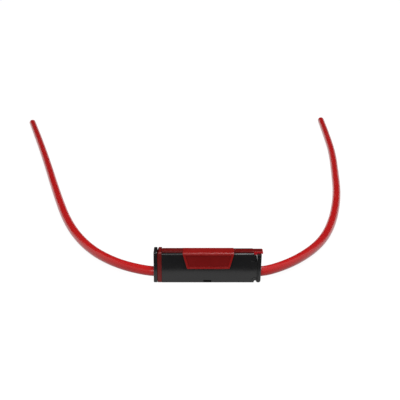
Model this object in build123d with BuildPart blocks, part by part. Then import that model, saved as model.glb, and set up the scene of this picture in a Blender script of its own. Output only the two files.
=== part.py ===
from build123d import *
import math
import os

os.makedirs("parts", exist_ok=True)

# An inline holder for one two-blade micro fuse, with its lid closed, in millimetres.
# X runs along the holder, +Y points away from its front face and +Z is up.
# The origin is the middle of the underside.

# The fuse
fuse_width = 9.1
fuse_depth = 3.8
fuse_height = 15.3
fuse_body_height = 8.0
fuse_corner = 0.5
blade_width = 2.4
blade_thickness = 0.8
blade_inset = 0.35
blade_tip_chamfer = 0.5
element_gap = 0.05
element_cover = 1.3
link_width = 1.1
link_drop = 2.6
probe_slot_width = 1.6
probe_slot_depth = 0.6

# The cable
cable_od = 5.7
conductor_od = 2.9
core_gap = 0.05
cable_height = 5.2
arc_share = 0.45

# The terminals and the steel clips round them
sheet = 0.4
snug = 0.02
leaf_bow = 0.3
leaf_play = 0.05
clip_sheet = 0.3
clip_gap = 0.05
socket_floor_gap = 0.2
socket_top_gap = 0.1
tongue_width = 1.8
wire_gap = 1.2
bare_length = 4.8
tongue_step_gap = 0.1
conductor_crimp_margin = 0.4
conductor_crimp_length = 3.2
insulation_crimp_margin = 1.0
insulation_crimp_length = 3.2
crimp_seam = 0.8

# The chambers that the terminals slide into
chamber_clearance = 0.1
chamber_height = 7.6
chamber_corner = 1.2
centre_gap = 0.25
side_wall = 1.3

# The housing
block_left = 26.3
block_right = 25.3
right_skirt = 2.2
block_edge = 0.7
rim_height = 0.7
rim_edge = 0.35
rim_width = 2.15
bay_rim_width = 1.35
bay_gap = 0.1
well_clearance = 0.3
grip_margin = 1.05
grip_depth = 3.9
fuse_top_gap = 0.75
pocket_inner_wall = 1.6
pocket_end_wall = 1.3
pocket_side_wall = 2.15
pocket_floor = 0.9
pocket_corner = 0.8
rim_end = 25.5
rim_end_round = 0.5
ramp_top = 15.6
ramp_bottom = 14.2
foot_notch_start = 0.4
foot_notch_height = 1.4
foot_notch_round = 0.9
foot_ring_radius = 2.7
foot_ring_width = 0.6
side_line_height = 13.2
side_line_length = 3.7
side_line_width = 0.45
surface_cut = 0.4

# The plug that locks the terminals from below
lock_width = 4.0
lock_end = 0.4
lock_gap = 0.1
lock_inset = 0.1
lock_prong = 0.7
lock_prong_width = 2.8
blade_pocket_floor = 0.6
blade_tip_gap = 0.2
blade_pocket_gap = 0.2
slot_width = 4.4
slot_bottom = 0.25
slot_above_floor = 0.25
slot_offset = -0.6
latch_gap = 0.2
latch_inset = 1.9

# The wire seals
seal_length = 4.4
seal_gap = 0.1
seal_rib = 0.7
seal_rib_depth = 0.35
seal_ribs = 3

# The end caps
spigot_length = 3.5
spigot_clearance = 0.1
bore_clearance = 0.15
neck_bottom = 1.7
neck_inset = 1.1
neck_corner = 0.8
left_neck_top_drop = 1.9
right_neck_width = 7.4
right_neck_top = 10.1
neck_clearance = 0.1
left_flange = 2.0
right_neck = 2.4
right_flange = 2.4
left_flange_corner = 0.9
left_flange_edge = 0.3
right_flange_corner = 0.6
foot_radius = 1.35
foot_lean = 0.5
foot_gap = 0.1
bore_overrun = 1.0
catch_depth = 0.3
catch_height = 0.8
flange_top_gap = 0.1

# The collar of the lid
collar_width = 2.5
collar_side_gap = 0.05
collar_bore_gap = 0.15
collar_proud = 0.1
collar_corner = 1.0
collar_edge = 0.6
pry_notch_width = 0.85
pry_notch_depth = 1.5

# The lid
lid_gap = 0.05
hinge_gap = 0.05
right_arm_thickness = 1.15
saddle_thickness = 1.55
saddle_over_rim = 0.1
arm_side_gap = 0.1
saddle_half_length = 14.4
tab_gap = 0.1
tab_thickness = 0.95
tab_bottom_half_length = 12.0
tab_length = 9.65
tab_corner = 0.8
saddle_edge = 0.9
panel_border = 1.3
panel_depth = 0.5
panel_top_margin = 1.6
lip_gap = 0.1
lip_thickness = 0.7
lip_length = 0.3
tooth_thickness = 1.7
tooth_length = 0.9
tooth_gap = 0.15
barb_depth = 0.2

# The lid seal
lid_seal_width = 0.6
lid_seal_height = 0.5
lid_seal_margin = 0.2
lid_seal_gap = 0.05

# Places along a terminal that follow from the fuse's blades
blade_pitch = fuse_width - 2 * blade_inset - blade_width
blade_centre = blade_pitch / 2
plate_left = blade_centre + blade_width / 2 + clip_gap
clip_start = blade_centre - blade_width / 2 - clip_gap - clip_sheet
clip_end = plate_left + sheet + clip_gap + clip_sheet
conductor_start = clip_end + wire_gap
conductor_crimp_start = conductor_start + conductor_crimp_margin
insulation_start = conductor_start + bare_length
insulation_crimp_start = insulation_start + insulation_crimp_margin

# The route of each lead: straight runs that arcs round off, from inside the housing outwards
floor_height = cable_od / 2
left_route = [
    (-insulation_start, 0, cable_height),
    (-35, 0, cable_height),
    (-54.5, 14, 4.5),
    (-73.5, 42, 3.2),
    (-91, 84, floor_height),
    (-107.5, 148, floor_height),
    (-124.5, 220, floor_height),
    (-142.5, 293, floor_height),
    (-161.2, 364.5, floor_height),
]
right_route = [
    (insulation_start, 0, cable_height),
    (34, 0, cable_height),
    (53, 17.5, 4.5),
    (70.5, 50, 3.2),
    (82.5, 91, floor_height),
    (92.5, 146, floor_height),
    (98.5, 201, floor_height),
    (104.3, 259, floor_height),
    (107, 317, floor_height),
    (108.7, 374.4, floor_height),
]

# Heights that follow from the stack of the fuse in its well
blade_length = fuse_height - fuse_body_height
element_height = fuse_height - element_cover
fuse_bottom = blade_pocket_floor + blade_tip_gap
shoulder_height = fuse_bottom + blade_length
fuse_top = fuse_bottom + fuse_height
deck_height = fuse_top + fuse_top_gap
rim_top = deck_height + rim_height
lid_bottom = deck_height + lid_gap
saddle_top = lid_bottom + saddle_thickness
chamber_bottom = cable_height - chamber_height / 2
chamber_top = cable_height + chamber_height / 2
pocket_bottom = chamber_top + pocket_floor
socket_bottom = chamber_bottom + socket_floor_gap
socket_top = shoulder_height - socket_top_gap
slot_height = chamber_bottom + slot_above_floor - slot_bottom
tab_bottom = saddle_top - tab_length

# Widths that follow from the cable and its crimp
cable_radius = cable_od / 2
conductor_radius = conductor_od / 2
chamber_width = cable_od + 2 * sheet + 2 * snug + 2 * chamber_clearance
housing_depth = chamber_width + 2 * side_wall
deck_width = housing_depth - 2 * rim_width
arm_width = deck_width - 2 * arm_side_gap
bay_width = housing_depth - 2 * bay_rim_width
plate_width = bay_width - 2 * arm_side_gap
tab_inner = housing_depth / 2 + tab_gap
tab_outer = tab_inner + tab_thickness
neck_width = housing_depth - 2 * neck_inset
well_length = fuse_width + 2 * well_clearance
grip_length = fuse_width + 2 * grip_margin
pocket_start = grip_length / 2 + pocket_inner_wall
well_width = fuse_depth + 2 * well_clearance

# Places along the holder
prong_start = clip_end + lock_gap
lock_length = 2 * (prong_start + lock_prong + lock_end)
skirt_end = block_right + right_skirt
left_neck = collar_width + 2 * collar_side_gap
left_flange_inside = -block_left - left_neck
left_end = left_flange_inside - left_flange
right_flange_inside = block_right + right_neck
right_end = right_flange_inside + right_flange
lip_inside = right_end + lip_gap
lip_outside = lip_inside + lip_thickness
hinge_x = -block_left
left_neck_top = saddle_top - left_neck_top_drop
collar_right = hinge_x - collar_side_gap
collar_left = collar_right - collar_width


def arc_radii(route):
    """The radius for each corner of a route: its arc takes a fixed share of the shorter run."""
    corners = [Vector(*point) for point in route]
    radii = []
    for before, corner, after in zip(corners, corners[1:], corners[2:]):
        turn = (corner - before).get_angle(after - corner)
        shorter = min((corner - before).length, (after - corner).length)
        radii.append(arc_share * shorter / math.tan(math.radians(turn) / 2))
    return radii


left_radii = arc_radii(left_route)
right_radii = arc_radii(right_route)


def bend_start(route):
    """How far along X the first arc of a lead starts, measured from the origin."""
    first = Vector(*route[0])
    corner = Vector(*route[1])
    after = Vector(*route[2])
    shorter = min((corner - first).length, (after - corner).length)
    return abs(corner.X) - arc_share * shorter


# The housing: a block with a deck for the lid, a well for the fuse and a chamber from each end
with BuildPart() as housing:
    with BuildSketch(Plane.YZ.offset(-block_left)):
        with Locations((0, rim_top / 2)):
            RectangleRounded(housing_depth, rim_top, block_edge)
    extrude(amount=block_left + skirt_end)
    # the deck between the rims, with a wider bay for the saddle
    with BuildSketch(Plane.XY.offset(deck_height)):
        with Locations(((skirt_end - block_left) / 2, 0)):
            Rectangle(block_left + skirt_end, deck_width)
        Rectangle(2 * (saddle_half_length + bay_gap), bay_width)
    extrude(amount=rim_height, mode=Mode.SUBTRACT)
    # the fuse well, longer at the top where fingers grip the fuse
    with BuildSketch(Plane.XY.offset(shoulder_height)):
        Rectangle(well_length, well_width)
    extrude(amount=rim_top - shoulder_height, mode=Mode.SUBTRACT)
    with BuildSketch(Plane.XY.offset(deck_height - grip_depth)):
        RectangleRounded(grip_length, well_width, pocket_corner)
    extrude(amount=grip_depth, mode=Mode.SUBTRACT)
    # the cored pockets at both sides of the well
    with BuildSketch(Plane.XY.offset(pocket_bottom)):
        for far_end in (-(block_left - pocket_end_wall), rim_end - pocket_end_wall):
            near_end = math.copysign(pocket_start, far_end)
            with Locations(((near_end + far_end) / 2, 0)):
                RectangleRounded(
                    abs(far_end - near_end), housing_depth - 2 * pocket_side_wall, pocket_corner
                )
    extrude(amount=deck_height - pocket_bottom, mode=Mode.SUBTRACT)
    # the two chambers, one from each end, up to the wall between the terminals
    for end, inward in ((-block_left, 1), (block_right, -1)):
        with BuildSketch(Plane(origin=(end, 0, cable_height), x_dir=(0, 1, 0), z_dir=(inward, 0, 0))):
            RectangleRounded(chamber_width, chamber_height, chamber_corner)
        extrude(amount=abs(end) - (clip_start - centre_gap), mode=Mode.SUBTRACT)
    # the wider mouth at the right, inside the skirt, for the neck of the cap
    with BuildSketch(Plane.YZ.offset(block_right)):
        with Locations((0, (neck_bottom + right_neck_top) / 2)):
            RectangleRounded(
                right_neck_width + 2 * neck_clearance,
                right_neck_top - neck_bottom + 2 * neck_clearance,
                neck_corner + neck_clearance,
            )
    extrude(amount=right_skirt, mode=Mode.SUBTRACT)
    # the window in the underside for the lock, and the slot in front for its latch
    with BuildSketch():
        Rectangle(lock_length + 2 * lock_gap, lock_width + 2 * lock_gap)
    extrude(amount=chamber_bottom, mode=Mode.SUBTRACT)
    with BuildSketch(Plane.XZ.offset(housing_depth / 2)):
        with Locations((slot_offset, slot_bottom + slot_height / 2)):
            Rectangle(slot_width, slot_height)
    extrude(amount=-(housing_depth - lock_width) / 2, mode=Mode.SUBTRACT)
    # a softened inner edge along both rims
    rim_edges = housing.edges().filter_by(Axis.X).group_by(Axis.Z)[-1]
    inner_reach = bay_width / 2 + arm_side_gap
    chamfer(rim_edges.filter_by_position(Axis.Y, -inner_reach, inner_reach), rim_edge / 2)
    # the rims end before the skirt does, and a ramp falls away under the lid's tooth
    with BuildSketch(Plane.XZ.offset(-housing_depth / 2)):
        with BuildLine():
            Polyline(
                (rim_end, ramp_top),
                (skirt_end, ramp_bottom),
                (skirt_end, rim_top),
                (rim_end + rim_end_round, rim_top),
                (rim_end, rim_top - rim_end_round),
                close=True,
            )
        make_face()
        with BuildLine():
            corner = (rim_end - rim_end_round, rim_top)
            Polyline(corner, (rim_end + rim_end_round, rim_top), (rim_end, rim_top - rim_end_round))
            RadiusArc((rim_end, rim_top - rim_end_round), corner, -rim_end_round)
        make_face()
    extrude(amount=housing_depth, mode=Mode.SUBTRACT)
    # the notch at the foot, which leaves the cap's neck bare, and the line and ring on both sides
    with BuildSketch(Plane.XZ.offset(-housing_depth / 2)):
        with Locations((block_right + foot_notch_start + right_skirt / 2, 0)):
            notch = Rectangle(right_skirt, 2 * foot_notch_height)
        fillet(notch.vertices().group_by(Axis.X)[0].sort_by(Axis.Y)[-1], foot_notch_round)
    extrude(amount=housing_depth, mode=Mode.SUBTRACT)
    for side in (-1, 1):
        with BuildSketch(Plane.XZ.offset(side * housing_depth / 2)):
            with Locations((skirt_end - side_line_length / 2, side_line_height)):
                Rectangle(side_line_length, side_line_width)
            with Locations(((block_right + skirt_end) / 2, neck_bottom / 2)):
                Circle(foot_ring_radius)
                Circle(foot_ring_radius - foot_ring_width, mode=Mode.SUBTRACT)
        extrude(amount=-side * surface_cut, mode=Mode.SUBTRACT)
housing.part.label = "housing"

# The lock: a plug in the underside with a prong behind each terminal and a latch in the front slot
tongue_bottom = cable_height - conductor_radius - snug - sheet
with BuildPart() as terminal_lock:
    with BuildSketch(Plane.XY.offset(lock_inset)):
        Rectangle(lock_length, lock_width)
    extrude(amount=chamber_bottom - lock_inset)
    with BuildSketch(Plane.XY.offset(chamber_bottom)):
        with Locations(
            (-prong_start - lock_prong / 2, 0),
            (prong_start + lock_prong / 2, 0),
        ):
            Rectangle(lock_prong, lock_prong_width)
    extrude(amount=tongue_bottom - lock_gap - chamber_bottom)
    with BuildSketch(Plane.XY.offset(blade_pocket_floor)):
        with GridLocations(blade_pitch, 0, 2, 1):
            Rectangle(blade_width + 2 * blade_pocket_gap, blade_thickness + 2 * blade_pocket_gap)
    extrude(amount=chamber_bottom - blade_pocket_floor, mode=Mode.SUBTRACT)
    with BuildSketch(Plane.XZ.offset(lock_width / 2)):
        with Locations((slot_offset, slot_bottom + slot_height / 2)):
            Rectangle(slot_width - 2 * latch_gap, slot_height - 2 * latch_gap)
    extrude(amount=(housing_depth - lock_width) / 2 - latch_inset)
terminal_lock.part.label = "terminal_lock"

# The fuse: a moulded body with two probe slots on top and a slit for the stamped element
with BuildPart() as fuse_body:
    with BuildSketch(Plane.XY.offset(shoulder_height)):
        RectangleRounded(fuse_width, fuse_depth, fuse_corner)
    extrude(amount=fuse_body_height)
    chamfer(fuse_body.edges().group_by(Axis.Z)[-1], fuse_corner / 2)
    with BuildSketch(Plane.XZ.offset(-blade_thickness / 2 - element_gap)):
        with Locations((0, (shoulder_height + fuse_bottom + element_height + element_gap) / 2)):
            Rectangle(
                blade_pitch + blade_width + 2 * element_gap,
                fuse_bottom + element_height + element_gap - shoulder_height,
            )
    extrude(amount=blade_thickness + 2 * element_gap, mode=Mode.SUBTRACT)
    with BuildSketch(Plane.XY.offset(fuse_bottom + element_height)):
        with GridLocations(blade_pitch, 0, 2, 1):
            Rectangle(probe_slot_width, probe_slot_depth)
    extrude(amount=fuse_height - element_height, mode=Mode.SUBTRACT)
fuse_body.part.label = "fuse_body"

with BuildPart() as fuse_element:
    with BuildSketch(Plane.XZ.offset(-blade_thickness / 2)):
        with GridLocations(blade_pitch, 0, 2, 1):
            with Locations((0, fuse_bottom + element_height / 2)):
                Rectangle(blade_width, element_height)
        # the link dips between the blades as one thin loop
        link_top = fuse_bottom + element_height
        with BuildLine():
            Polyline(
                (-blade_centre, link_top),
                (blade_centre, link_top),
                (blade_centre, link_top - link_width),
                (link_width / 2, link_top - link_width - link_drop),
                (-link_width / 2, link_top - link_width - link_drop),
                (-blade_centre, link_top - link_width),
                close=True,
            )
        make_face()
        with BuildLine():
            Polyline(
                (-blade_centre + blade_width / 2 + link_width / 2, link_top),
                (blade_centre - blade_width / 2 - link_width / 2, link_top),
                (0, link_top - link_drop),
                close=True,
            )
        make_face(mode=Mode.SUBTRACT)
    extrude(amount=blade_thickness)
    tip_edges = fuse_element.edges().filter_by(Axis.Y).group_by(Axis.Z)[0]
    chamfer(tip_edges, blade_tip_chamfer)
fuse_element.part.label = "fuse_element"

# The right terminal: two bowed leaves on a back plate, a tongue and two crimped barrels
leaf_left = blade_centre - blade_width / 2
leaf_inside = blade_thickness / 2 + leaf_play
socket_middle = (socket_bottom + socket_top) / 2
conductor_barrel = conductor_radius + snug + sheet
insulation_barrel = cable_radius + snug + sheet
with BuildPart() as right_terminal:
    for side in (-1, 1):
        with BuildSketch(Plane.YZ.offset(leaf_left)):
            with BuildLine():
                inner = ThreePointArc(
                    (side * (leaf_inside + leaf_bow), socket_bottom),
                    (side * leaf_inside, socket_middle),
                    (side * (leaf_inside + leaf_bow), socket_top),
                )
                outer = ThreePointArc(
                    (side * (leaf_inside + leaf_bow + sheet), socket_bottom),
                    (side * (leaf_inside + sheet), socket_middle),
                    (side * (leaf_inside + leaf_bow + sheet), socket_top),
                )
                Line(inner @ 0, outer @ 0)
                Line(inner @ 1, outer @ 1)
            make_face()
        extrude(amount=plate_left + sheet - leaf_left)
    with BuildSketch(Plane.YZ.offset(plate_left)):
        with Locations((0, socket_middle)):
            Rectangle(2 * (leaf_inside + sheet), socket_top - socket_bottom)
    extrude(amount=sheet)
    # the tongue runs along the underside of both barrels
    with BuildSketch(Plane.XZ.offset(-tongue_width / 2)):
        with BuildLine():
            barrel_drop = insulation_barrel - conductor_barrel
            conductor_crimp_end = conductor_crimp_start + conductor_crimp_length
            insulation_crimp_end = insulation_crimp_start + insulation_crimp_length
            tongue_step_end = insulation_start - tongue_step_gap
            Polyline(
                (plate_left, tongue_bottom),
                (conductor_crimp_end, tongue_bottom),
                (tongue_step_end, tongue_bottom - barrel_drop),
                (insulation_crimp_end, tongue_bottom - barrel_drop),
                (insulation_crimp_end, tongue_bottom - barrel_drop + sheet),
                (tongue_step_end, tongue_bottom - barrel_drop + sheet),
                (conductor_crimp_end, tongue_bottom + sheet),
                (plate_left, tongue_bottom + sheet),
                close=True,
            )
        make_face()
    extrude(amount=tongue_width)
    # the barrels, open along the seam where their wings meet
    for start, length, radius in (
        (conductor_crimp_start, conductor_crimp_length, conductor_barrel),
        (insulation_crimp_start, insulation_crimp_length, insulation_barrel),
    ):
        barrel_plane = Plane(origin=(start, 0, cable_height), x_dir=(0, 1, 0), z_dir=(1, 0, 0))
        with BuildSketch(barrel_plane):
            Circle(radius)
        extrude(amount=length)
        with BuildSketch(barrel_plane):
            Circle(radius - sheet)
            with Locations((0, radius)):
                Rectangle(crimp_seam, radius)
        extrude(amount=length, mode=Mode.SUBTRACT)
right_terminal.part.label = "right_terminal"

with BuildPart() as left_terminal:
    mirror(right_terminal.part, about=Plane.YZ)
left_terminal.part.label = "left_terminal"

# The steel clip backs the leaves all round, with a notch for the tongue
clip_inside_left = leaf_left - clip_gap
clip_inside_right = plate_left + sheet + clip_gap
clip_inside_width = 2 * (leaf_inside + leaf_bow + sheet + clip_gap)
with BuildPart() as right_spring_clip:
    with BuildSketch(Plane.XY.offset(socket_bottom)):
        with Locations(((clip_inside_left + clip_inside_right) / 2, 0)):
            RectangleRounded(
                clip_inside_right - clip_inside_left + 2 * clip_sheet,
                clip_inside_width + 2 * clip_sheet,
                clip_sheet,
            )
            Rectangle(
                clip_inside_right - clip_inside_left, clip_inside_width, mode=Mode.SUBTRACT
            )
    extrude(amount=socket_top - socket_bottom)
    with BuildSketch(Plane.YZ.offset(clip_inside_right)):
        with Locations((0, tongue_bottom + sheet / 2)):
            Rectangle(tongue_width + 2 * clip_gap, sheet + 2 * clip_gap)
    extrude(amount=clip_sheet, mode=Mode.SUBTRACT)
right_spring_clip.part.label = "right_spring_clip"

with BuildPart() as left_spring_clip:
    mirror(right_spring_clip.part, about=Plane.YZ)
left_spring_clip.part.label = "left_spring_clip"


def seal_solid(start):
    """A ribbed plug round the cable, from a place along X outwards, inside the chamber."""
    plane = Plane(origin=(start, 0, cable_height), x_dir=(0, 1, 0), z_dir=(1, 0, 0))
    with BuildPart() as seal:
        with BuildSketch(plane):
            RectangleRounded(
                chamber_width - 2 * seal_rib_depth,
                chamber_height - 2 * seal_rib_depth,
                chamber_corner - seal_rib_depth,
            )
        extrude(amount=seal_length)
        rib_step = (seal_length - seal_rib) / (seal_ribs - 1)
        for rib in range(seal_ribs):
            with BuildSketch(plane.offset(rib * rib_step)):
                RectangleRounded(chamber_width, chamber_height, chamber_corner)
            extrude(amount=seal_rib)
        with BuildSketch(plane):
            Circle(cable_radius + snug)
        extrude(amount=seal_length, mode=Mode.SUBTRACT)
    return seal.part


# The wire seals stop against the spigots of the end caps
with BuildPart() as right_wire_seal:
    add(seal_solid(block_right - spigot_length - seal_gap - seal_length))
right_wire_seal.part.label = "right_wire_seal"

with BuildPart() as left_wire_seal:
    add(mirror(seal_solid(block_left - spigot_length - seal_gap - seal_length), about=Plane.YZ))
left_wire_seal.part.label = "left_wire_seal"


def bore_solid(route, radii, start, end):
    """The space that the cable needs in an end cap on the right: straight, then bent either way."""
    straight_end = bend_start(route)
    plane = Plane(origin=(start, 0, cable_height), x_dir=(0, 1, 0), z_dir=(1, 0, 0))
    reach = math.degrees(math.asin((end - straight_end) / radii[0]))
    with BuildPart() as bore:
        for side in (-1, 1):
            with BuildLine(Plane.XY.offset(cable_height)) as path:
                run = Line((start, 0), (straight_end, 0))
                JernArc(start=run @ 1, tangent=(1, 0), radius=radii[0], arc_size=side * reach)
            with BuildSketch(plane):
                Circle(cable_radius + bore_clearance)
            sweep(path=path.wire())
    return bore.part


# The right end cap: spigot, neck and flange, with a catch for the lid's tooth
with BuildPart() as right_end_cap:
    spigot_plane = Plane(origin=(block_right, 0, cable_height), x_dir=(0, 1, 0), z_dir=(-1, 0, 0))
    with BuildSketch(spigot_plane):
        RectangleRounded(
            chamber_width - 2 * spigot_clearance,
            chamber_height - 2 * spigot_clearance,
            chamber_corner - spigot_clearance,
        )
    extrude(amount=spigot_length)
    with BuildSketch(Plane.YZ.offset(block_right)):
        with Locations((0, (neck_bottom + right_neck_top) / 2)):
            RectangleRounded(right_neck_width, right_neck_top - neck_bottom, neck_corner)
    extrude(amount=right_neck)
    # the flange seen from the front: a thick round foot, a leaning outside and a catch at the top
    flange_top = deck_height - flange_top_gap
    foot_top = foot_notch_height - foot_gap
    foot_right = right_end - foot_lean
    with BuildSketch(Plane.XZ.offset(-housing_depth / 2)):
        with BuildLine():
            Polyline(
                (foot_right - 2 * foot_radius, foot_top),
                (right_flange_inside, foot_top),
                (right_flange_inside, flange_top - catch_height - catch_depth),
                (right_flange_inside + catch_depth, flange_top - catch_height),
                (right_flange_inside + catch_depth, flange_top - catch_height + catch_depth),
                (right_flange_inside, flange_top - catch_height + 2 * catch_depth),
                (right_flange_inside, flange_top),
                (right_end, flange_top),
                (foot_right, foot_top),
            )
            ThreePointArc(
                (foot_right, foot_top),
                (foot_right - foot_radius, 0),
                (foot_right - 2 * foot_radius, foot_top),
            )
        make_face()
    extrude(amount=housing_depth)
    outer_corners = right_end_cap.edges().filter_by(GeomType.LINE).sort_by(SortBy.LENGTH)[-2:]
    fillet(outer_corners, right_flange_corner)
    right_bore = bore_solid(
        right_route, right_radii, block_right - spigot_length, right_end + bore_overrun
    )
    add(right_bore, mode=Mode.SUBTRACT)
right_end_cap.part.label = "right_end_cap"

# The left end cap is taller, and its neck carries the collar
with BuildPart() as left_end_cap:
    spigot_plane = Plane(origin=(-block_left, 0, cable_height), x_dir=(0, 1, 0), z_dir=(1, 0, 0))
    with BuildSketch(spigot_plane):
        RectangleRounded(
            chamber_width - 2 * spigot_clearance,
            chamber_height - 2 * spigot_clearance,
            chamber_corner - spigot_clearance,
        )
    extrude(amount=spigot_length)
    with BuildSketch(Plane.YZ.offset(-block_left)):
        with Locations((0, (neck_bottom + left_neck_top) / 2)):
            RectangleRounded(neck_width, left_neck_top - neck_bottom, neck_corner)
    extrude(amount=-left_neck)
    with BuildSketch(Plane.YZ.offset(left_flange_inside)):
        with Locations((0, saddle_top / 2)):
            RectangleRounded(housing_depth, saddle_top, left_flange_corner)
    extrude(amount=-left_flange)
    outer_face = left_end_cap.faces().sort_by(Axis.X)[0]
    chamfer(outer_face.edges(), left_flange_edge)
    left_route_mirrored = [(-x, y, z) for x, y, z in left_route]
    left_bore = bore_solid(
        left_route_mirrored, left_radii, block_left - spigot_length, bore_overrun - left_end
    )
    add(mirror(left_bore, about=Plane.YZ), mode=Mode.SUBTRACT)
left_end_cap.part.label = "left_end_cap"

# The collar of the lid, a closed band round the left neck
with BuildPart() as lid_collar:
    with BuildSketch(Plane.YZ.offset(collar_left)):
        with Locations((0, saddle_top / 2)):
            RectangleRounded(housing_depth + 2 * collar_proud, saddle_top, collar_corner)
        with Locations((0, (neck_bottom + left_neck_top) / 2)):
            RectangleRounded(
                neck_width + 2 * collar_bore_gap,
                left_neck_top - neck_bottom + 2 * collar_bore_gap,
                neck_corner,
                mode=Mode.SUBTRACT,
            )
    extrude(amount=collar_width)
    # the edge beside the flange is rounded, and cut away at the top for a fingernail
    flange_side = lid_collar.faces().sort_by(Axis.X)[0].outer_wire()
    fillet(flange_side.edges(), collar_edge)
    with BuildSketch(Plane.XZ.offset(-tab_outer)):
        with BuildLine():
            Polyline(
                (collar_left, saddle_top - pry_notch_depth),
                (collar_left, saddle_top),
                (collar_left + pry_notch_width, saddle_top),
                close=True,
            )
        make_face()
    extrude(amount=2 * tab_outer, mode=Mode.SUBTRACT)
lid_collar.part.label = "lid_collar"

# The lid: a saddle with a wedge-shaped tab in front, two arms and the clip at the right end
seal_inner_length = grip_length + 2 * lid_seal_margin
seal_inner_width = well_width + 2 * lid_seal_margin
seal_outer_length = seal_inner_length + 2 * lid_seal_width
seal_outer_width = seal_inner_width + 2 * lid_seal_width
with BuildPart() as lid:
    # the saddle's section: the tab hangs over the front rim, the back ends between the rims
    with BuildSketch(Plane.YZ.offset(-saddle_half_length)):
        with BuildLine():
            Polyline(
                (-tab_outer, tab_bottom),
                (-tab_outer, saddle_top),
                (plate_width / 2, saddle_top),
                (plate_width / 2, lid_bottom),
                (-plate_width / 2, lid_bottom),
                (-plate_width / 2, rim_top + saddle_over_rim),
                (-tab_inner, rim_top + saddle_over_rim),
                (-tab_inner, tab_bottom),
                close=True,
            )
        make_face()
    extrude(amount=2 * saddle_half_length)
    top_edges = lid.edges().filter_by(Axis.X).group_by(Axis.Z)[-1]
    fillet(top_edges, saddle_edge)
    # the tab narrows towards the bottom
    with BuildSketch(Plane.XZ.offset(-tab_outer)):
        with BuildLine():
            Polyline(
                (-saddle_half_length, saddle_top),
                (saddle_half_length, saddle_top),
                (saddle_half_length, rim_top),
                (tab_bottom_half_length, tab_bottom),
                (-tab_bottom_half_length, tab_bottom),
                (-saddle_half_length, rim_top),
                close=True,
            )
        wedge = make_face()
        fillet(wedge.vertices().group_by(Axis.Y)[0], tab_corner)
    extrude(amount=2 * tab_outer, mode=Mode.INTERSECT)
    # the plate in the bay under the saddle, and the two arms
    with BuildSketch(Plane.XY.offset(lid_bottom)):
        Rectangle(2 * saddle_half_length, plate_width)
    extrude(amount=rim_top - lid_bottom)
    with BuildSketch(Plane.XY.offset(lid_bottom)):
        with Locations(((hinge_x + hinge_gap - saddle_half_length) / 2, 0)):
            Rectangle(-saddle_half_length - hinge_x - hinge_gap, arm_width)
    extrude(amount=saddle_top - lid_bottom)
    with BuildSketch(Plane.XY.offset(lid_bottom)):
        with Locations(((saddle_half_length + lip_outside) / 2, 0)):
            Rectangle(lip_outside - saddle_half_length, arm_width)
    extrude(amount=right_arm_thickness)
    # the clip: a lip outside the flange and a barbed tooth in the groove behind it
    tooth_right = right_flange_inside - tooth_gap
    tooth_bottom = lid_bottom - tooth_length
    with BuildSketch(Plane.XZ.offset(-arm_width / 2)):
        with BuildLine():
            Polyline(
                (tooth_right - tooth_thickness, lid_bottom),
                (tooth_right, lid_bottom),
                (tooth_right, tooth_bottom + 2 * barb_depth),
                (tooth_right + barb_depth, tooth_bottom + barb_depth),
                (tooth_right, tooth_bottom),
                (tooth_right - tooth_thickness, tooth_bottom),
                close=True,
            )
        make_face()
        with Locations(((lip_inside + lip_outside) / 2, lid_bottom - lip_length / 2)):
            Rectangle(lip_thickness, lip_length)
    extrude(amount=arm_width)
    end_edges = lid.edges().filter_by(Axis.Y).group_by(Axis.X)[-1]
    fillet(end_edges.sort_by(Axis.Z)[-1], right_arm_thickness / 2)
    # a recessed panel on the tab, without any marking
    slope = (saddle_half_length - tab_bottom_half_length) / (rim_top - tab_bottom)
    panel_top = saddle_top - panel_top_margin
    panel_bottom = tab_bottom + panel_border
    top_half = saddle_half_length - (rim_top - panel_top) * slope - panel_border
    bottom_half = tab_bottom_half_length + panel_border * slope - panel_border
    with BuildSketch(Plane.XZ.offset(tab_outer)):
        with BuildLine():
            Polyline(
                (-top_half, panel_top),
                (top_half, panel_top),
                (bottom_half, panel_bottom),
                (-bottom_half, panel_bottom),
                close=True,
            )
        panel = make_face()
        fillet(panel.vertices(), tab_corner / 2)
    extrude(amount=-panel_depth, mode=Mode.SUBTRACT)
    # the groove for the seal in the underside
    with BuildSketch(Plane.XY.offset(lid_bottom)):
        RectangleRounded(
            seal_outer_length + 2 * lid_seal_gap, seal_outer_width + 2 * lid_seal_gap, pocket_corner
        )
        Rectangle(
            seal_inner_length - 2 * lid_seal_gap,
            seal_inner_width - 2 * lid_seal_gap,
            mode=Mode.SUBTRACT,
        )
    extrude(amount=lid_seal_height - lid_gap, mode=Mode.SUBTRACT)
lid.part.label = "lid"

with BuildPart() as lid_seal:
    with BuildSketch(Plane.XY.offset(deck_height)):
        RectangleRounded(seal_outer_length, seal_outer_width, pocket_corner)
        Rectangle(seal_inner_length, seal_inner_width, mode=Mode.SUBTRACT)
    extrude(amount=lid_seal_height)
lid_seal.part.label = "lid_seal"


def lead_solid(route, radii, first_x, outer, inner):
    """A round or hollow tube along a route, starting at a given place along X."""
    start = (first_x, 0, cable_height)
    with BuildPart() as lead:
        with BuildLine() as path:
            FilletPolyline(start, *route[1:], radius=radii)
        with BuildSketch(Plane(origin=start, z_dir=(math.copysign(1, first_x), 0, 0))):
            Circle(outer)
            if inner:
                Circle(inner, mode=Mode.SUBTRACT)
        sweep(path=path.wire())
    length = path.wire().length
    full_volume = math.pi * (outer**2 - inner**2) * length
    print(f"lead {length:.1f} mm, volume over section times length {lead.part.volume / full_volume:.5f}")
    return lead.part


print("arc radii, left:", [round(radius, 1) for radius in left_radii])
print("arc radii, right:", [round(radius, 1) for radius in right_radii])

core_bore_radius = conductor_radius + core_gap
with BuildPart() as left_insulation:
    add(lead_solid(left_route, left_radii, -insulation_start, cable_radius, core_bore_radius))
left_insulation.part.label = "left_insulation"

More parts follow.
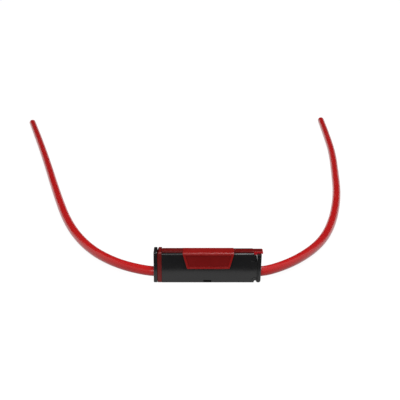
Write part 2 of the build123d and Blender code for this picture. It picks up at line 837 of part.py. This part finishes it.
with BuildPart() as right_insulation:
    add(lead_solid(right_route, right_radii, insulation_start, cable_radius, core_bore_radius))
right_insulation.part.label = "right_insulation"

with BuildPart() as left_conductor:
    add(lead_solid(left_route, left_radii, -conductor_start, conductor_radius, 0))
left_conductor.part.label = "left_conductor"

with BuildPart() as right_conductor:
    add(lead_solid(right_route, right_radii, conductor_start, conductor_radius, 0))
right_conductor.part.label = "right_conductor"

for piece in (
    housing,
    terminal_lock,
    fuse_body,
    fuse_element,
    left_terminal,
    right_terminal,
    left_spring_clip,
    right_spring_clip,
    left_wire_seal,
    right_wire_seal,
    left_end_cap,
    right_end_cap,
    lid_collar,
    lid,
    lid_seal,
    left_insulation,
    right_insulation,
    left_conductor,
    right_conductor,
):
    export_step(piece.part, f"parts/{piece.part.label}.step")
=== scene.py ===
# %% [markdown]
# # An inline holder for a micro blade fuse
#
# The real thing is a black moulded box about 62 mm long, with a red lid held by a band at its
# left end and two thick red leads that lie on the table in a wide U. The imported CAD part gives
# every size. This script gives it its surface: softened edges, moulded and extruded plastic, and
# copper strands at the cut ends. First the frame is loaded, since all other pieces hang on it.

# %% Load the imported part
import math
import random

import bmesh
import bpy
from mathutils import Matrix, Vector
from mathutils.bvhtree import BVHTree


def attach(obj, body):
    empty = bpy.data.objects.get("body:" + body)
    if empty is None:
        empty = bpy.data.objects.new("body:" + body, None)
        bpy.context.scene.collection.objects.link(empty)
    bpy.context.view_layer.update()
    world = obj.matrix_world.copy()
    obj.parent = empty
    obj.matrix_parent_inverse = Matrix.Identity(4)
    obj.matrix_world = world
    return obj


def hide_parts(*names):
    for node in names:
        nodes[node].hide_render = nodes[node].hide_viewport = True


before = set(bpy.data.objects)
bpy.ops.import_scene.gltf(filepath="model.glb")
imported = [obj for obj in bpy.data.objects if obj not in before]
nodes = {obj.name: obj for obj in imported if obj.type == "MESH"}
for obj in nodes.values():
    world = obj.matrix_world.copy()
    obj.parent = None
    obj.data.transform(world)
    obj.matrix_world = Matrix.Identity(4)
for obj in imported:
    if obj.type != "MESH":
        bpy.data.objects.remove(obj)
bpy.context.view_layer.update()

# %% [markdown]
# ## The camera
#
# The photograph looks down on the holder at about 18 degrees, from half a metre away. The nearer
# a lead lies, the thicker it looks, and that fixes the distance. A plain camera object with a
# longish lens does this, with no shift, because the photograph's frame is centred on its view.

# %% Place the camera
camera_data = bpy.data.cameras.new("camera")
camera_data.sensor_width = 36.0
camera_data.lens = 86.4
camera_data.clip_start = 0.01
camera = bpy.data.objects.new("camera", camera_data)
camera.location = (-0.0047, -0.50661, 0.21584)
camera.rotation_euler = (math.radians(71.66), 0.0, 0.0)
bpy.context.scene.collection.objects.link(camera)
bpy.context.scene.camera = camera
print("camera height in mm:", round(1000 * camera.location.z))

# %% [markdown]
# ## The two leads
#
# A lead is a round cable that leaves the housing straight, sinks to the table and runs back in one
# loose curve. A mesh tube would need a ring of vertices at every bend. A NURBS curve with a round
# bevel stays smooth at any zoom and needs only a handful of control points, so it is used here.
# The order is set after the points are there, or Blender falls back to straight runs. Each point
# carries the cable's radius and the bevel is one unit deep, so the object's box is the cable's.

# %% The leads' routes, in metres
lead_diameter = 0.0057
lead_radius = lead_diameter / 2
exit_height = 0.0052
lying = lead_radius
left_route = [
    (-0.011, 0.0, exit_height),
    (-0.024, 0.0, exit_height),
    (-0.035, 0.0, exit_height),
    (-0.0545, 0.014, 0.0045),
    (-0.0735, 0.042, 0.0032),
    (-0.0907, 0.0843, lying),
    (-0.1071, 0.148, lying),
    (-0.1241, 0.220, lying),
    (-0.1420, 0.293, lying),
    (-0.1605, 0.3645, lying),
]
right_route = [
    (0.011, 0.0, exit_height),
    (0.024, 0.0, exit_height),
    (0.034, 0.0, exit_height),
    (0.053, 0.0189, 0.0045),
    (0.0708, 0.0509, 0.0032),
    (0.0831, 0.091, lying),
    (0.0934, 0.146, lying),
    (0.0992, 0.201, lying),
    (0.1047, 0.259, lying),
    (0.1073, 0.317, lying),
    (0.109, 0.3744, lying),
]


# %% Lay a lead along its route
curve_order = 3
steps_per_point = 16
round_steps = 12


def lay_lead(name, route):
    data = bpy.data.curves.new(name, "CURVE")
    data.dimensions = "3D"
    spline = data.splines.new("NURBS")
    spline.points.add(len(route) - 1)
    for point, place in zip(spline.points, route):
        point.co = (*place, 1.0)
        point.radius = lead_radius
    spline.order_u = curve_order
    spline.use_endpoint_u = True
    spline.resolution_u = steps_per_point
    data.bevel_depth = 1.0
    data.bevel_resolution = round_steps
    data.use_fill_caps = True
    lead = bpy.data.objects.new(name, data)
    bpy.context.scene.collection.objects.link(lead)
    return lead


left_lead = lay_lead("left_lead", left_route)
right_lead = lay_lead("right_lead", right_route)
print("control points:", len(left_route), len(right_route))


# %% [markdown]
# ## The copper strands
#
# Where a lead is cut, its core shows as a bundle of fine round wires. Only the last stretch is
# seen, so the core is one round rod along most of the lead and sixty-one separate wires at the
# end. Both follow points that Blender reads off the lead's own spline, so they can't drift from
# it. A circle is extruded from point to point, which is how one would do it by hand. The new
# ring comes back in an order of its own, so each of its vertices is matched to the old one that
# it hangs on before it is moved.

# %% Read the line of a lead off its spline
def centre_line(lead):
    data = lead.data.copy()
    data.bevel_depth = 0.0
    bare = bpy.data.objects.new("bare_line", data)
    mesh = bpy.data.meshes.new_from_object(bare)
    line = [vertex.co.copy() for vertex in mesh.vertices]
    bpy.data.objects.remove(bare)
    bpy.data.curves.remove(data)
    bpy.data.meshes.remove(mesh)
    return line


def line_length(line):
    return sum((b - a).length for a, b in zip(line, line[1:]))


left_line = centre_line(left_lead)
right_line = centre_line(right_lead)
left_length = line_length(left_line)
right_length = line_length(right_line)
print("lead lengths in mm:", round(1000 * left_length, 1), round(1000 * right_length, 1))


# %% Sweep a round wire along a line
def direction_at(line, place):
    before = line[max(place - 1, 0)]
    after = line[min(place + 1, len(line) - 1)]
    return (after - before).normalized()


def frame_at(line, place, sideways, upwards):
    """A matrix that stands a flat circle across the line at one of its points."""
    up = Vector((0.0, 0.0, 1.0))
    ahead = direction_at(line, place)
    across = ahead.cross(up).normalized()
    spot = line[place] + sideways * across + upwards * up
    turn = Matrix((across, across.cross(ahead) * -1.0, ahead)).transposed().to_4x4()
    return Matrix.Translation(spot) @ turn


def extrude_ring(bm, ring):
    """Extrude a closed ring once and give the new vertices in the old ring's order."""
    edges = [edge for edge in {e for vert in ring for e in vert.link_edges}
             if edge.verts[0] in ring and edge.verts[1] in ring]
    made = bmesh.ops.extrude_edge_only(bm, edges=edges)
    old_of = {}
    for vert in (item for item in made["geom"] if isinstance(item, bmesh.types.BMVert)):
        for edge in vert.link_edges:
            other = edge.other_vert(vert)
            if other in ring:
                old_of[vert] = ring.index(other)
    return sorted(old_of, key=old_of.get)


def sweep_wire(bm, line, radius, sides, sideways=0.0, upwards=0.0):
    start = frame_at(line, 0, sideways, upwards)
    made = bmesh.ops.create_circle(
        bm, cap_ends=False, segments=sides, radius=radius, matrix=start
    )
    first = ring = made["verts"]
    shape = [start.inverted() @ vert.co for vert in ring]
    for place in range(1, len(line)):
        ring = extrude_ring(bm, ring)
        at = frame_at(line, place, sideways, upwards)
        for vert, local in zip(ring, shape):
            vert.co = at @ local
    bmesh.ops.contextual_create(bm, geom=ring)
    bmesh.ops.contextual_create(bm, geom=first)


# %% Make the core of a lead, with loose strands at its cut end
core_radius = 0.00145
core_sides = 24
strand_radius = 0.000155
strand_sides = 8
strand_stretch = 0.008
strand_steps = 3
strand_rings = 4
strand_proud = 0.0002
rim_in_rings = 0.55
uneven_cut = 0.0001
strand_sharp_angle = math.radians(50)


def part_line(line):
    """The line up to the strands, and the straight stretch that the strands take."""
    core = list(line)
    while (core[-1] - line[-1]).length < strand_stretch:
        core.pop()
    tip = line[-1] + direction_at(line, len(line) - 1) * strand_proud
    stretch = [core[-1].lerp(tip, step / strand_steps) for step in range(strand_steps + 1)]
    return core, stretch


def make_core(name, line, start_x):
    core, stretch = part_line([Vector((start_x, 0.0, exit_height))] + line)
    bm = bmesh.new()
    sweep_wire(bm, core, core_radius, core_sides)
    dice = random.Random(name)
    spacing = core_radius / (strand_rings + rim_in_rings)
    outwards = direction_at(stretch, strand_steps)
    for ring in range(strand_rings + 1):
        # six more strands in each ring, and every second ring is turned by half a strand
        count = max(1, 6 * ring)
        for number in range(count):
            angle = math.tau * (number + 0.5 * (ring % 2)) / count
            end = stretch[-1] + outwards * dice.uniform(-uneven_cut, uneven_cut)
            sweep_wire(
                bm, stretch[:-1] + [end], strand_radius, strand_sides,
                ring * spacing * math.cos(angle), ring * spacing * math.sin(angle),
            )
    bmesh.ops.recalc_face_normals(bm, faces=bm.faces)
    mesh = bpy.data.meshes.new(name)
    bm.to_mesh(mesh)
    bm.free()
    mesh.shade_smooth()
    mesh.set_sharp_from_angle(angle=strand_sharp_angle)
    piece = bpy.data.objects.new(name, mesh)
    bpy.context.scene.collection.objects.link(piece)
    return piece


conductor_start = 0.0062
left_strands = make_core("left_strands", left_line, -conductor_start)
right_strands = make_core("right_strands", right_line, conductor_start)
print("faces of a core:", len(left_strands.data.polygons))

# %% [markdown]
# ## Tell the frame what the leads are
#
# Each lead stands for its CAD solid and rides on the holder. The photograph shows both leads
# from end to end.

for lead, strands, side, length in (
    (left_lead, left_strands, "left", left_length),
    (right_lead, right_strands, "right", right_length),
):
    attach(lead, "holder")
    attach(strands, "holder")
    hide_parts(f"{side}_insulation")
    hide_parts(f"{side}_conductor")


# %% [markdown]
# ## Softened edges
#
# A mould never gives a razor edge: every outer edge has a small radius that catches the light.
# The CAD solids are sharp there. Their meshes stay untouched, and a copy of each outer moulding
# is merged, its flat faces are joined again, and a Bevel modifier rounds its sharp edges, so that
# the radius stays one number. Left to itself the modifier narrows every bevel until it fits the
# tightest corner of the part. So each edge is tested first for free room on both of its faces,
# at its middle and near its ends. It then gets its own weight, and the modifier's clamp is turned
# off. Where an edge is crisp on one side of a line and round on the other, the copy is cut there
# first. Weighted normals keep the large faces flat, or the shading of the small round edges would
# spread over them.

# %% Find the edges that have room for a bevel
sharp_angle = math.radians(35.0)
widest_bevel = 0.0003
off_the_face = 0.00002
same_way = 0.94


def has_room(tree, edge, width):
    start, end = (vert.co for vert in edge.verts)
    for loop in edge.link_loops:
        inward = edge.calc_tangent(loop)
        for share in (0.1, 0.5, 0.9):
            for step in (0.5, 1.0, 1.5, 2.0):
                spot = start.lerp(end, share) + inward * width * step
                _, normal, _, away = tree.find_nearest(spot)
                if away > off_the_face or normal.dot(loop.face.normal) < same_way:
                    return False
    return True


def is_sharp(edge):
    closed = len(edge.link_faces) == 2
    return closed and edge.is_convex and edge.calc_face_angle(0.0) >= sharp_angle


def weigh_edges(bm, width, own_width):
    tree = BVHTree.FromBMesh(bm)
    weight = bm.edges.layers.float.new("bevel_weight_edge")
    found = 0
    for edge in bm.edges:
        if not is_sharp(edge):
            continue
        middle = (edge.verts[0].co + edge.verts[1].co) / 2
        wanted = own_width(middle, width) if own_width else width
        if wanted > 0.0 and has_room(tree, edge, wanted):
            edge[weight] = wanted / widest_bevel
            found += 1
    return found


# %% Join a CAD mesh's loose triangles to large flat faces
same_spot = 2e-6
nearly_flat = math.radians(0.5)
shortest_edge = 1.5e-5
cut_snap = 1e-7


def tidy_triangles(bm, cuts):
    bmesh.ops.remove_doubles(bm, verts=bm.verts, dist=same_spot)
    bmesh.ops.dissolve_limit(
        bm, angle_limit=nearly_flat, verts=bm.verts, edges=bm.edges,
        use_dissolve_boundaries=False,
    )
    bmesh.ops.remove_doubles(bm, verts=bm.verts, dist=shortest_edge)
    for x in cuts:
        geometry = bm.verts[:] + bm.edges[:] + bm.faces[:]
        bmesh.ops.bisect_plane(
            bm, geom=geometry, dist=cut_snap,
            plane_co=(x, 0.0, 0.0), plane_no=(1.0, 0.0, 0.0),
        )


# %% Round the chosen edges and keep the large faces flat
def add_soft_edges(piece):
    bevel = piece.modifiers.new("soft_edges", "BEVEL")
    bevel.width = widest_bevel
    bevel.segments = 3
    bevel.limit_method = "WEIGHT"
    bevel.use_clamp_overlap = False
    bevel.miter_outer = "MITER_ARC"
    flat = piece.modifiers.new("flat_faces", "WEIGHTED_NORMAL")
    flat.mode = "FACE_AREA"
    flat.weight = 100


# %% Copy a moulding and soften it
def soften(node, name, width, body="holder", own_width=None, cuts=()):
    mesh = nodes[node].data.copy()
    mesh.name = name
    bm = bmesh.new()
    bm.from_mesh(mesh)
    tidy_triangles(bm, cuts)
    found = weigh_edges(bm, width, own_width)
    bm.to_mesh(mesh)
    bm.free()
    mesh.shade_smooth()
    piece = bpy.data.objects.new(name, mesh)
    bpy.context.scene.collection.objects.link(piece)
    add_soft_edges(piece)
    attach(piece, body)
    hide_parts(node)
    print(name, "faces before the bevel:", len(mesh.polygons), "edges to round:", found)
    return piece


# %% Where the housing's edges are sharp, crisp or round
# the housing's and the lid's faces are cut where the lid's arms and its clip start, since their
# edges differ from there and the lid gets painted shade on its arms and a painted highlight on
# its clip
arm_start = 0.0144
clip_start = 0.0257
black_edge = 0.00012
red_edge = 0.00015
crisp_edge = 0.00005
marks_start = 0.0235
marks_low, marks_high = 0.0085, 0.0168
marks_depth = 0.004
chambers_end = 0.024
chambers_depth = 0.0042
chambers_top = 0.016
rim_low = 0.0174
rim_outside = 0.0046


def rim_width(middle, width):
    """The rims are crisp on the left and rounder on the right. The marks below stay sharp, and so
    do the hidden edges of the chambers, where a bevel would only fold thin faces."""
    x, y, z = middle.x, abs(middle.y), middle.z
    if x > marks_start and marks_low < z < marks_high and y > marks_depth:
        return 0.0
    if abs(x) < chambers_end and y < chambers_depth and z < chambers_top:
        return 0.0
    if z < rim_low or y < rim_outside:
        return width
    return widest_bevel if x > arm_start else crisp_edge


# %% Where the caps' edges are sharp
bore_mouth = 0.0044
foot_low, groove_high = 0.0007, 0.0015


def cap_width(middle, width):
    """The caps stay sharp round the cable's bore and along the groove and the foot."""
    in_bore = math.hypot(middle.y, middle.z - exit_height) < bore_mouth
    return 0.0 if in_bore or foot_low < middle.z < groove_high else width


# %% Soften the five outer mouldings
housing_shell = soften(
    "housing", "housing_shell", black_edge,
    own_width=rim_width, cuts=(arm_start,),
)
left_cap_shell = soften(
    "left_end_cap", "left_cap_shell", black_edge, own_width=cap_width
)
right_cap_shell = soften(
    "right_end_cap", "right_cap_shell", black_edge, own_width=cap_width
)
collar_band = soften("lid_collar", "collar_band", red_edge)
lid_cover = soften(
    "lid", "lid_cover", red_edge, body="cover", cuts=(-arm_start, clip_start)
)


# %% [markdown]
# ## Materials
#
# All finishes are made from shader nodes. Their patterns sit on Object coordinates in metres, so
# a grain of 0.2 mm needs a noise scale in the thousands. Only the drag lines of the leads follow
# the surface instead. A few helpers keep the node code short: one makes a material with its
# shader, one adds a noise pattern, one spreads it over a range, one blends two colours by it and
# one turns it into a fine bump.

# %% Start a material and add a noise pattern
def new_finish(name):
    material = bpy.data.materials.new(name)
    material.use_nodes = True
    tree = material.node_tree
    shader = tree.nodes["Principled BSDF"]
    return material, tree, shader


def add_noise(tree, scale, detail=2.0, coordinates="Object", stretch=(1.0, 1.0, 1.0)):
    where = tree.nodes.new("ShaderNodeTexCoord")
    mapping = tree.nodes.new("ShaderNodeMapping")
    mapping.inputs["Scale"].default_value = stretch
    noise = tree.nodes.new("ShaderNodeTexNoise")
    noise.inputs["Scale"].default_value = scale
    noise.inputs["Detail"].default_value = detail
    tree.links.new(where.outputs[coordinates], mapping.inputs["Vector"])
    tree.links.new(mapping.outputs["Vector"], noise.inputs["Vector"])
    return noise.outputs["Fac"]


# %% Turn a pattern into a range, a colour or a bump
noise_low, noise_high = 0.3, 0.7


def add_range(tree, value, low, high):
    spread = tree.nodes.new("ShaderNodeMapRange")
    spread.inputs["From Min"].default_value = noise_low
    spread.inputs["From Max"].default_value = noise_high
    spread.inputs["To Min"].default_value = low
    spread.inputs["To Max"].default_value = high
    tree.links.new(value, spread.inputs["Value"])
    return spread.outputs["Result"]


def add_blend(tree, factor, first, second):
    mix = tree.nodes.new("ShaderNodeMix")
    mix.data_type = "RGBA"
    mix.inputs["A"].default_value = (*first, 1.0)
    mix.inputs["B"].default_value = (*second, 1.0)
    tree.links.new(factor, mix.inputs["Factor"])
    return mix.outputs["Result"]


def add_bump(tree, height, depth, below=None):
    bump = tree.nodes.new("ShaderNodeBump")
    bump.inputs["Strength"].default_value = 1.0
    bump.inputs["Distance"].default_value = depth
    tree.links.new(height, bump.inputs["Height"])
    if below is not None:
        tree.links.new(below, bump.inputs["Normal"])
    return bump.outputs["Normal"]


# %% A recipe for moulded plastic and rubber
cloud_scale = 180.0
gloss_scale = 90.0
wave_scale = 60.0
wave_depth = 0.00004


def moulded(name, dark, light, rough_low, rough_high, grain, depth, specular=0.5):
    """A moulded plastic: clouded colour, uneven gloss, a fine grain and slow waves from cooling."""
    material, tree, shader = new_finish(name)
    cloud = add_noise(tree, cloud_scale, 4.0)
    tree.links.new(add_blend(tree, cloud, dark, light), shader.inputs["Base Color"])
    gloss = add_noise(tree, gloss_scale, 6.0)
    tree.links.new(add_range(tree, gloss, rough_low, rough_high), shader.inputs["Roughness"])
    waves = add_bump(tree, add_noise(tree, wave_scale, 1.0), wave_depth)
    fine = add_bump(tree, add_noise(tree, grain, 2.0), depth, waves)
    tree.links.new(fine, shader.inputs["Normal"])
    shader.inputs["Specular IOR Level"].default_value = specular
    print("finish", name)
    return material


# %% [markdown]
# ## Black plastic
#
# The housing is glass-filled nylon: near black, satin, with a very fine grain from the eroded
# mould. Its colour is a dark grey, because pure black would lose all form.

# %% Black plastic for the housing and its caps
black_plastic = moulded(
    "black_plastic", (0.0095, 0.0095, 0.01), (0.013, 0.013, 0.0135), 0.13, 0.2,
    grain=5200.0, depth=0.000004, specular=0.38,
)
lock_plastic = moulded(
    "lock_plastic", (0.006, 0.006, 0.0065), (0.01, 0.01, 0.0105), 0.38, 0.5,
    grain=4200.0, depth=0.000008, specular=0.3,
)

# %% [markdown]
# ## Red plastic
#
# The lid and its band are polypropylene, a deep red that is a little uneven and slightly waxy.
# The same recipe as the black one works, with softer gloss and a coarser grain. The saddle is
# full red and the band a darker red. The arms get that darker red too, as painted shade, and the
# small clip at the right end a brighter red, as a painted highlight. The sunken panel of the tab
# and its walls get a darker red, as painted shade of the recess and of the lettering on it, which
# is left off, and the panel's eroded finish is duller than the rest.

# %% Red plastic for the lid and its collar
red_plastic = moulded(
    "red_plastic", (0.205, 0.004, 0.0034), (0.25, 0.006, 0.005), 0.24, 0.34,
    grain=3600.0, depth=0.000005, specular=0.3,
)
# painted shade: a darker red for the tab's sunken panel and its walls, also duller
red_recess_painted_shade = moulded(
    "red_recess_painted_shade", (0.125, 0.0018, 0.0015), (0.17, 0.003, 0.0025), 0.42, 0.55,
    grain=2600.0, depth=0.00001, specular=0.12,
)
# a darker red for the collar band, also used as painted shade on the lid's arms
red_band_and_painted_shade = moulded(
    "red_band_and_painted_shade", (0.098, 0.0026, 0.0022), (0.13, 0.0038, 0.0032), 0.28, 0.38,
    grain=3600.0, depth=0.000005, specular=0.3,
)
# painted highlight: a brighter red for the clip's side faces
red_clip_painted_highlight = moulded(
    "red_clip_painted_highlight", (0.36, 0.006, 0.01), (0.42, 0.009, 0.014), 0.24, 0.34,
    grain=3600.0, depth=0.000005, specular=0.3,
)

# %% [markdown]
# ## The leads' covering
#
# The covering is extruded, so its faint marks run along the cable and not across. The curve's own
# UV map runs along it in U and around it in V, and a noise that is stretched along U makes drag
# lines. A second, cloudy noise keeps the red from being one flat colour.

# %% Red covering of the leads
drag_stretch = (30.0, 26.0, 1.0)
drag_depth = 0.00002
grain_depth = 0.000004
lead_red, tree, shader = new_finish("lead_red")
drag = add_noise(tree, 1.0, 3.0, "UV", drag_stretch)
cloud = add_noise(tree, 70.0, 4.0)
clouded = add_blend(tree, cloud, (0.38, 0.006, 0.0065), (0.44, 0.009, 0.009))
tree.links.new(clouded, shader.inputs["Base Color"])
tree.links.new(add_range(tree, drag, 0.2, 0.3), shader.inputs["Roughness"])
drag_bump = add_bump(tree, drag, drag_depth)
fine = add_bump(tree, add_noise(tree, 2600.0, 2.0), grain_depth, drag_bump)
tree.links.new(fine, shader.inputs["Normal"])
shader.inputs["Specular IOR Level"].default_value = 0.28
print("finish", lead_red.name)


# %% [markdown]
# ## Metals
#
# Copper strands dull within days of the cut, tin plate is soft and grey, and the spring clip is
# rolled stainless steel with fine lines along the strip. One helper makes all three: a metallic
# shader, a tarnish that blends two colours, and a scratch pattern that is stretched one way.

# %% Copper, tin plate and spring steel
tarnish_scale = 420.0
scratch_depth = 0.000004


def metal(name, clean, dull, rough_low, rough_high, scratch_scale, stretch=(1.0, 1.0, 1.0)):
    material, tree, shader = new_finish(name)
    shader.inputs["Metallic"].default_value = 1.0
    tarnish = add_range(tree, add_noise(tree, tarnish_scale, 5.0), 0.0, 1.0)
    tree.links.new(add_blend(tree, tarnish, clean, dull), shader.inputs["Base Color"])
    scratch = add_noise(tree, scratch_scale, 3.0, "Object", stretch)
    tree.links.new(add_range(tree, scratch, rough_low, rough_high), shader.inputs["Roughness"])
    tree.links.new(add_bump(tree, scratch, scratch_depth), shader.inputs["Normal"])
    print("finish", name)
    return material


copper = metal("copper", (0.80, 0.40, 0.23), (0.50, 0.24, 0.13), 0.25, 0.45, 900.0)
tinned_metal = metal(
    "tinned_metal", (0.72, 0.72, 0.70), (0.55, 0.55, 0.54), 0.32, 0.5, 700.0, (1.0, 1.0, 4.0)
)
spring_steel = metal(
    "spring_steel", (0.60, 0.61, 0.63), (0.48, 0.48, 0.50), 0.2, 0.4, 600.0, (8.0, 8.0, 0.6)
)

# %% [markdown]
# ## The fuse and the seals
#
# The fuse's body is clear tinted plastic, so that a blown link can be seen: the shader lets most
# light through. The seals are silicone rubber, dull and slightly dusty.

# %% Tinted fuse plastic and seal rubber
fuse_plastic = moulded(
    "fuse_plastic", (0.80, 0.55, 0.05), (0.86, 0.62, 0.08), 0.12, 0.2,
    grain=3000.0, depth=0.000003,
)
fuse_shader = fuse_plastic.node_tree.nodes["Principled BSDF"]
fuse_shader.inputs["Transmission Weight"].default_value = 0.6
fuse_shader.inputs["IOR"].default_value = 1.57
seal_rubber = moulded(
    "seal_rubber", (0.05, 0.17, 0.24), (0.07, 0.22, 0.30), 0.6, 0.8,
    grain=2400.0, depth=0.00001,
)


# %% Give the new pieces their finishes
def finish_with(material, *pieces):
    for piece in pieces:
        piece.data.materials.clear()
        piece.data.materials.append(material)


finish_with(black_plastic, housing_shell, left_cap_shell, right_cap_shell)
finish_with(red_plastic, lid_cover)
finish_with(red_band_and_painted_shade, collar_band)
finish_with(lead_red, left_lead, right_lead)
finish_with(copper, left_strands, right_strands)
print("lid finish:", lid_cover.data.materials[0].name)

# %% Give the lid's panel and arms painted shade and its clip a painted highlight
panel_y = -0.00522
panel_wall_y = -0.00547
panel_top = 0.017
close_by = 0.0001
square_on = 0.99
for material in (red_recess_painted_shade, red_band_and_painted_shade, red_clip_painted_highlight):
    lid_cover.data.materials.append(material)
for face in lid_cover.data.polygons:
    on_floor = face.normal.y < -square_on and abs(face.center.y - panel_y) < close_by
    on_wall = abs(face.center.y - panel_wall_y) < close_by and face.center.z < panel_top
    # painted shade: the panel's floor and walls take the darker red
    if on_floor or on_wall:
        face.material_index = 1
    # painted shade: every face of the arms takes the darker red
    if abs(face.center.x) > arm_start + close_by:
        face.material_index = 2
    # painted highlight: the clip's side faces take the brighter red
    if face.normal.z < square_on and face.center.x > clip_start:
        face.material_index = 3
print("lid finishes:", [material.name for material in lid_cover.data.materials])

# %% Give every CAD node its finish
for node, material in (
    ("housing", black_plastic),
    ("left_end_cap", black_plastic),
    ("right_end_cap", black_plastic),
    ("lid", red_plastic),
    ("lid_collar", red_band_and_painted_shade),
    ("left_insulation", lead_red),
    ("right_insulation", lead_red),
    ("left_conductor", copper),
    ("right_conductor", copper),
    ("terminal_lock", lock_plastic),
    ("lid_seal", seal_rubber),
    ("left_wire_seal", seal_rubber),
    ("right_wire_seal", seal_rubber),
    ("fuse_body", fuse_plastic),
    ("fuse_element", tinned_metal),
    ("left_terminal", tinned_metal),
    ("right_terminal", tinned_metal),
    ("left_spring_clip", spring_steel),
    ("right_spring_clip", spring_steel),
):
    for place in nodes[node].material_slots:
        place.material = material
print("finishes given to", len(nodes), "nodes")

# %% [markdown]
# ## The floor
#
# The photograph has a white ground without an edge. The floor is a large plane. To the camera and
# to reflections it is nearly white and keeps a soft shadow, and to the bounced light it is a
# mid grey, so that it doesn't light the object from below. Light Path tells the rays apart.

# %% Lay the floor
floor_half = 6.0
floor_data = bpy.data.meshes.new("floor")
bm = bmesh.new()
bmesh.ops.create_grid(bm, x_segments=1, y_segments=1, size=floor_half)
bm.to_mesh(floor_data)
bm.free()
floor = bpy.data.objects.new("floor", floor_data)
bpy.context.scene.collection.objects.link(floor)
print("floor faces:", len(floor_data.polygons))


# %% Tell the rays that see the ground from those that only carry light
def seen_directly(tree):
    """1 for the camera's rays and for those that metal or glass sends on, else 0."""
    path = tree.nodes.new("ShaderNodeLightPath")
    total = path.outputs["Is Camera Ray"]
    for ray in ("Is Glossy Ray", "Is Transmission Ray"):
        larger = tree.nodes.new("ShaderNodeMath")
        larger.operation = "MAXIMUM"
        tree.links.new(total, larger.inputs[0])
        tree.links.new(path.outputs[ray], larger.inputs[1])
        total = larger.outputs[0]
    return total


def choose(tree, unseen, seen, out):
    """Show one shader to the rays that see the ground and another to the rest."""
    chosen = tree.nodes.new("ShaderNodeMixShader")
    tree.links.new(seen_directly(tree), chosen.inputs["Fac"])
    tree.links.new(unseen.outputs[0], chosen.inputs[1])
    tree.links.new(seen.outputs[0], chosen.inputs[2])
    tree.links.new(chosen.outputs[0], out.inputs["Surface"])


def add_plain(tree, kind, level, strength=None):
    """A shader node of one grey."""
    node = tree.nodes.new(kind)
    node.inputs["Color"].default_value = (level, level, level, 1.0)
    if strength is not None:
        node.inputs["Strength"].default_value = strength
    return node


# %% The floor's finish
bounce_grey = 0.35
shadow_grey = 0.1
floor_glow = 0.94
floor_finish = bpy.data.materials.new("floor_white")
floor_finish.use_nodes = True
tree = floor_finish.node_tree
tree.nodes.clear()
out = tree.nodes.new("ShaderNodeOutputMaterial")
bounce = add_plain(tree, "ShaderNodeBsdfDiffuse", bounce_grey)
shadowed = add_plain(tree, "ShaderNodeBsdfDiffuse", shadow_grey)
glow = add_plain(tree, "ShaderNodeEmission", 1.0, floor_glow)
both = tree.nodes.new("ShaderNodeAddShader")
tree.links.new(shadowed.outputs[0], both.inputs[0])
tree.links.new(glow.outputs[0], both.inputs[1])
choose(tree, bounce, both, out)
floor_data.materials.append(floor_finish)
print("finish", floor_finish.name)

# %% White surroundings
ambient = 0.68
world = bpy.data.worlds.new("studio")
bpy.context.scene.world = world
world.use_nodes = True
tree = world.node_tree
tree.nodes.clear()
out = tree.nodes.new("ShaderNodeOutputWorld")
dim = add_plain(tree, "ShaderNodeBackground", 1.0, ambient)
white = add_plain(tree, "ShaderNodeBackground", 1.0, 1.0)
choose(tree, dim, white, out)
print("the world lights the object at", ambient)


# %% [markdown]
# ## Lamps and dark cards
#
# A long strip lamp above, a little to the right, draws the highlight along the right rim, and a
# smaller one fills from the camera's side. Photographers put black cards around a glossy black
# object, so that its faces don't wash out. Here three cards are seen only in reflections: one
# lies before the holder and darkens the upper half of its front, one stands far behind and
# darkens its top, and one hangs above the left half, so that the left rim gets no highlight.

# %% Lamps
def add_lamp(name, place, size, power):
    data = bpy.data.lights.new(name, "AREA")
    data.shape = "RECTANGLE"
    data.size = size[0]
    data.size_y = size[1]
    data.energy = power
    lamp = bpy.data.objects.new(name, data)
    lamp.location = place
    bpy.context.scene.collection.objects.link(lamp)
    return lamp


key_place = (0.12, -0.1, 0.75)
key_lamp = add_lamp("key_lamp", key_place, (0.15, 1.2), 4.3)
key_lamp.rotation_euler = (0.0, math.atan2(key_place[0], key_place[2]), 0.0)
fill_lamp = add_lamp("fill_lamp", (-0.25, -0.8, 0.5), (0.4, 0.4), 3.0)
fill_target = Vector((0.0, 0.02, 0.01))
aim = fill_target - fill_lamp.location
fill_lamp.rotation_euler = aim.to_track_quat("-Z", "Y").to_euler()
print("lamps:", key_lamp.data.energy, fill_lamp.data.energy)


# %% Black for the cards
card_black = bpy.data.materials.new("card_black")
card_black.use_nodes = True
card_shader = card_black.node_tree.nodes["Principled BSDF"]
card_shader.inputs["Base Color"].default_value = (0.005, 0.005, 0.005, 1.0)
card_shader.inputs["Roughness"].default_value = 1.0
card_shader.inputs["Specular IOR Level"].default_value = 0.0
print("finish", card_black.name)


# %% Dark cards for reflections only
def add_card(name, low, high):
    low, high = Vector(low), Vector(high)
    data = bpy.data.meshes.new(name)
    bm = bmesh.new()
    bmesh.ops.create_cube(bm, size=1.0)
    bmesh.ops.scale(bm, verts=bm.verts, vec=high - low)
    bmesh.ops.translate(bm, verts=bm.verts, vec=(low + high) / 2)
    bm.to_mesh(data)
    bm.free()
    data.materials.append(card_black)
    card = bpy.data.objects.new(name, data)
    bpy.context.scene.collection.objects.link(card)
    card.visible_camera = False
    card.visible_diffuse = False
    card.visible_transmission = False
    card.visible_shadow = False
    card.visible_volume_scatter = False
    return card


front_card = add_card("front_card", (-0.25, -0.2, 0.0002), (0.25, -0.0225, 0.0006))
back_card = add_card("back_card", (-0.7, 0.6, 0.02), (0.7, 0.61, 0.9))
top_card = add_card("top_card", (-1.2, -1.2, 1.0), (-0.005, 0.6, 1.01))
print("cards:", front_card.name, back_card.name, top_card.name)

# %% [markdown]
# ## View settings
#
# The Standard view shows colours as they are written.

# %% Finish
bpy.context.scene.view_settings.view_transform = "Standard"
